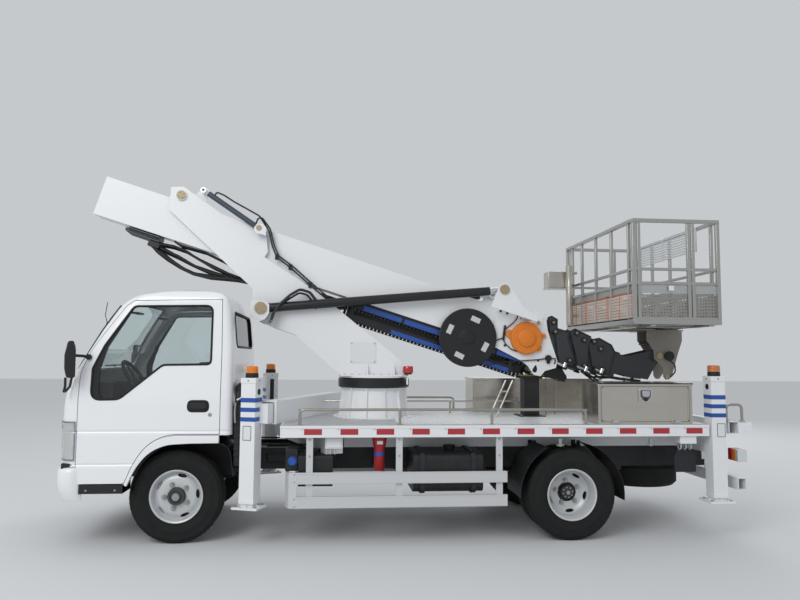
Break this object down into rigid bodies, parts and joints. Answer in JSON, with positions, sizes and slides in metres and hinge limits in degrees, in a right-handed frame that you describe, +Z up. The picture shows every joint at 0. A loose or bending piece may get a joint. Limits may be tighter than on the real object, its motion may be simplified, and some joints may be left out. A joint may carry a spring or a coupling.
{
  "type": "aerial work platform truck",
  "caption": "Light cab-over truck with a slewing telescopic boom, levelled rail-sided basket, swing-down legs, deck boxes and side guards; wheels, doors, boom and legs move.",
  "frame": {"origin": "middle of the outline at ground level", "axes": "+X to the tail, -X to the cab's front, -Y the driver's left side, +Z up"},
  "size_m": [5.99, 2.09, 3.2483],
  "materials": {
    "cab_paint": "gloss",
    "body_white": "gloss",
    "chassis_black": "satin",
    "engine_grey": "rough",
    "glass": "clear",
    "interior": "matte",
    "lamp": "gloss",
    "black_plastic": "matte",
    "tyre": "matte",
    "guard_paint": "satin",
    "deck_plate": "satin",
    "stainless": "brushed",
    "rim_silver": "satin",
    "boom_black": "satin",
    "chrome_rod": "polished",
    "bracket_grey": "satin"
  },
  "bodies": {
    "base": {"chassis_frame": "chassis_black", "sub_frame": "body_white", "powertrain": "engine_grey", "axles": "chassis_black", "leaf_springs": "chassis_black", "cab_shell": "cab_paint", "cab_glass": "glass", "cab_interior": "interior", "bumper": "cab_paint", "lamps": "lamp", "mirrors": "black_plastic", "cab_steps": "black_plastic", "tanks": "chassis_black", "spare_wheel": "tyre", "side_guards": "guard_paint", "rear_mudguards": "black_plastic", "deck": "deck_plate", "deck_rails": "stainless", "toolbox": "stainless", "far_boxes": "stainless", "boom_rest": "chassis_black", "pedestal": "body_white", "outrigger_boxes": "body_white", "tail_frame": "guard_paint"},
    "steer_left": {"knuckle_left": "chassis_black"},
    "steer_right": {"knuckle_right": "chassis_black"},
    "wheel_front_left": {"front_tyre_left": "tyre", "front_rim_left": "rim_silver"},
    "wheel_front_right": {"front_tyre_right": "tyre", "front_rim_right": "rim_silver"},
    "wheel_rear_left": {"rear_tyres_left": "tyre", "rear_rims_left": "rim_silver"},
    "wheel_rear_right": {"rear_tyres_right": "tyre", "rear_rims_right": "rim_silver"},
    "door_left_body": {"door_left": "cab_paint", "door_glass_left": "glass"},
    "door_right_body": {"door_right": "cab_paint", "door_glass_right": "glass"},
    "toolbox_lid": {"toolbox_door": "stainless"},
    "leg_front_left": {"outrigger_front_left": "body_white"},
    "leg_front_right": {"outrigger_front_right": "body_white"},
    "leg_rear_left": {"outrigger_rear_left": "body_white"},
    "leg_rear_right": {"outrigger_rear_right": "body_white"},
    "jack_front_left": {"foot_front_left": "guard_paint"},
    "jack_front_right": {"foot_front_right": "guard_paint"},
    "jack_rear_left": {"foot_rear_left": "guard_paint"},
    "jack_rear_right": {"foot_rear_right": "guard_paint"},
    "turntable": {"turret": "body_white", "level_barrel": "chassis_black"},
    "boom_base": {"boom_outer": "body_white", "cable_tray": "boom_black", "hose_reel": "boom_black"},
    "boom_second": {"boom_2": "boom_black"},
    "boom_third": {"boom_3": "boom_black"},
    "boom_fourth": {"boom_4": "boom_black"},
    "luff_barrel": {"luff_barrels": "chassis_black"},
    "luff_rod": {"luff_rods": "chrome_rod"},
    "level_rod_body": {"level_rod": "chrome_rod"},
    "platform_base": {"platform_bracket": "bracket_grey"},
    "platform": {"basket": "stainless"}
  },
  "joints": [
    {"name": "steer_left", "type": "hinge", "parent": "base", "child": "steer_left", "pos_m": [-2.01, -0.545, 0.385], "axis": [0, 0, 1], "range_deg": [-32, 32]},
    {"name": "steer_right", "type": "hinge", "parent": "base", "child": "steer_right", "pos_m": [-2.01, 0.545, 0.385], "axis": [0, 0, 1], "range_deg": [-32, 32]},
    {"name": "spin_front_left", "type": "hinge", "parent": "steer_left", "child": "wheel_front_left", "pos_m": [-2.01, -0.695, 0.385], "axis": [0, 1, 0], "continuous": true},
    {"name": "spin_front_right", "type": "hinge", "parent": "steer_right", "child": "wheel_front_right", "pos_m": [-2.01, 0.695, 0.385], "axis": [0, 1, 0], "continuous": true},
    {"name": "spin_rear_left", "type": "hinge", "parent": "base", "child": "wheel_rear_left", "pos_m": [1.35, -0.712, 0.385], "axis": [0, 1, 0], "continuous": true},
    {"name": "spin_rear_right", "type": "hinge", "parent": "base", "child": "wheel_rear_right", "pos_m": [1.35, 0.712, 0.385], "axis": [0, 1, 0], "continuous": true},
    {"name": "door_left_hinge", "type": "hinge", "parent": "base", "child": "door_left_body", "pos_m": [-2.772, -0.874, 1.2], "axis": [0, 0, -1], "range_deg": [0, 70]},
    {"name": "door_right_hinge", "type": "hinge", "parent": "base", "child": "door_right_body", "pos_m": [-2.772, 0.874, 1.2], "axis": [0, 0, 1], "range_deg": [0, 70]},
    {"name": "toolbox_hinge", "type": "hinge", "parent": "base", "child": "toolbox_lid", "pos_m": [2.016, -0.936, 1.003], "axis": [1, 0, 0], "range_deg": [0, 90]},
    {"name": "reach_front_left", "type": "slide", "parent": "base", "child": "leg_front_left", "axis": [-0.3355, -0.9421, 0], "range_m": [0, 0.6]},
    {"name": "jack_front_left", "type": "slide", "parent": "leg_front_left", "child": "jack_front_left", "axis": [0, 0, -1], "range_m": [0, 0.3]},
    {"name": "reach_front_right", "type": "slide", "parent": "base", "child": "leg_front_right", "axis": [-0.3355, 0.9421, 0], "range_m": [0, 0.6]},
    {"name": "jack_front_right", "type": "slide", "parent": "leg_front_right", "child": "jack_front_right", "axis": [0, 0, -1], "range_m": [0, 0.3]},
    {"name": "reach_rear_left", "type": "slide", "parent": "base", "child": "leg_rear_left", "axis": [0, -1, 0], "range_m": [0, 0.6]},
    {"name": "jack_rear_left", "type": "slide", "parent": "leg_rear_left", "child": "jack_rear_left", "axis": [0, 0, -1], "range_m": [0, 0.3]},
    {"name": "reach_rear_right", "type": "slide", "parent": "base", "child": "leg_rear_right", "axis": [0, 1, 0], "range_m": [0, 0.6]},
    {"name": "jack_rear_right", "type": "slide", "parent": "leg_rear_right", "child": "jack_rear_right", "axis": [0, 0, -1], "range_m": [0, 0.3]},
    {"name": "slew", "type": "hinge", "parent": "base", "child": "turntable", "pos_m": [-0.32, 0, 1.363], "axis": [0, 0, 1], "range_deg": [-120, 120]},
    {"name": "luff", "type": "hinge", "parent": "turntable", "child": "boom_base", "pos_m": [-2.174, 0, 3.077], "axis": [0, -1, 0], "range_deg": [0, 80]},
    {"name": "telescope", "type": "slide", "parent": "boom_base", "child": "boom_second", "axis": [0.9537, 0, -0.3007], "range_m": [0, 3.2]},
    {"name": "extend_third", "type": "slide", "parent": "boom_second", "child": "boom_third", "axis": [0.9537, 0, -0.3007], "range_m": [0, 3.2]},
    {"name": "extend_fourth", "type": "slide", "parent": "boom_third", "child": "boom_fourth", "axis": [0.9537, 0, -0.3007], "range_m": [0, 3.2]},
    {"name": "platform_level", "type": "hinge", "parent": "boom_fourth", "child": "platform_base", "pos_m": [2.55, 0, 1.59], "axis": [0, -1, 0], "range_deg": [-80, 0]},
    {"name": "platform_swing", "type": "hinge", "parent": "platform_base", "child": "platform", "pos_m": [2.69, 0, 1.86], "axis": [0, 0, 1], "range_deg": [-90, 90]},
    {"name": "luff_barrel_swing", "type": "hinge", "parent": "turntable", "child": "luff_barrel", "pos_m": [-1.398, 0, 2.008], "axis": [0, -1, 0], "range_deg": [0, 76.15]},
    {"name": "luff_rod_slide", "type": "slide", "parent": "luff_barrel", "child": "luff_rod", "axis": [0.996, 0, 0.0895], "range_m": [0, 1.68577]},
    {"name": "level_rod_slide", "type": "slide", "parent": "turntable", "child": "level_rod_body", "axis": [-0.8294, 0, 0.5587], "range_m": [0, 0.2755]}
  ],
  "couplings": [
    {"joint": "steer_right", "follows": "steer_left", "ratio": 1},
    {"joint": "extend_third", "follows": "telescope", "ratio": 1},
    {"joint": "extend_fourth", "follows": "telescope", "ratio": 1},
    {"joint": "platform_level", "follows": "luff", "ratio": -1},
    {"joint": "luff_barrel_swing", "follows": "luff", "ratio": 0.95169},
    {"joint": "luff_rod_slide", "follows": "luff", "m_per_rad": 1.2073},
    {"joint": "level_rod_slide", "follows": "luff", "m_per_rad": 0.19724}
  ]
}
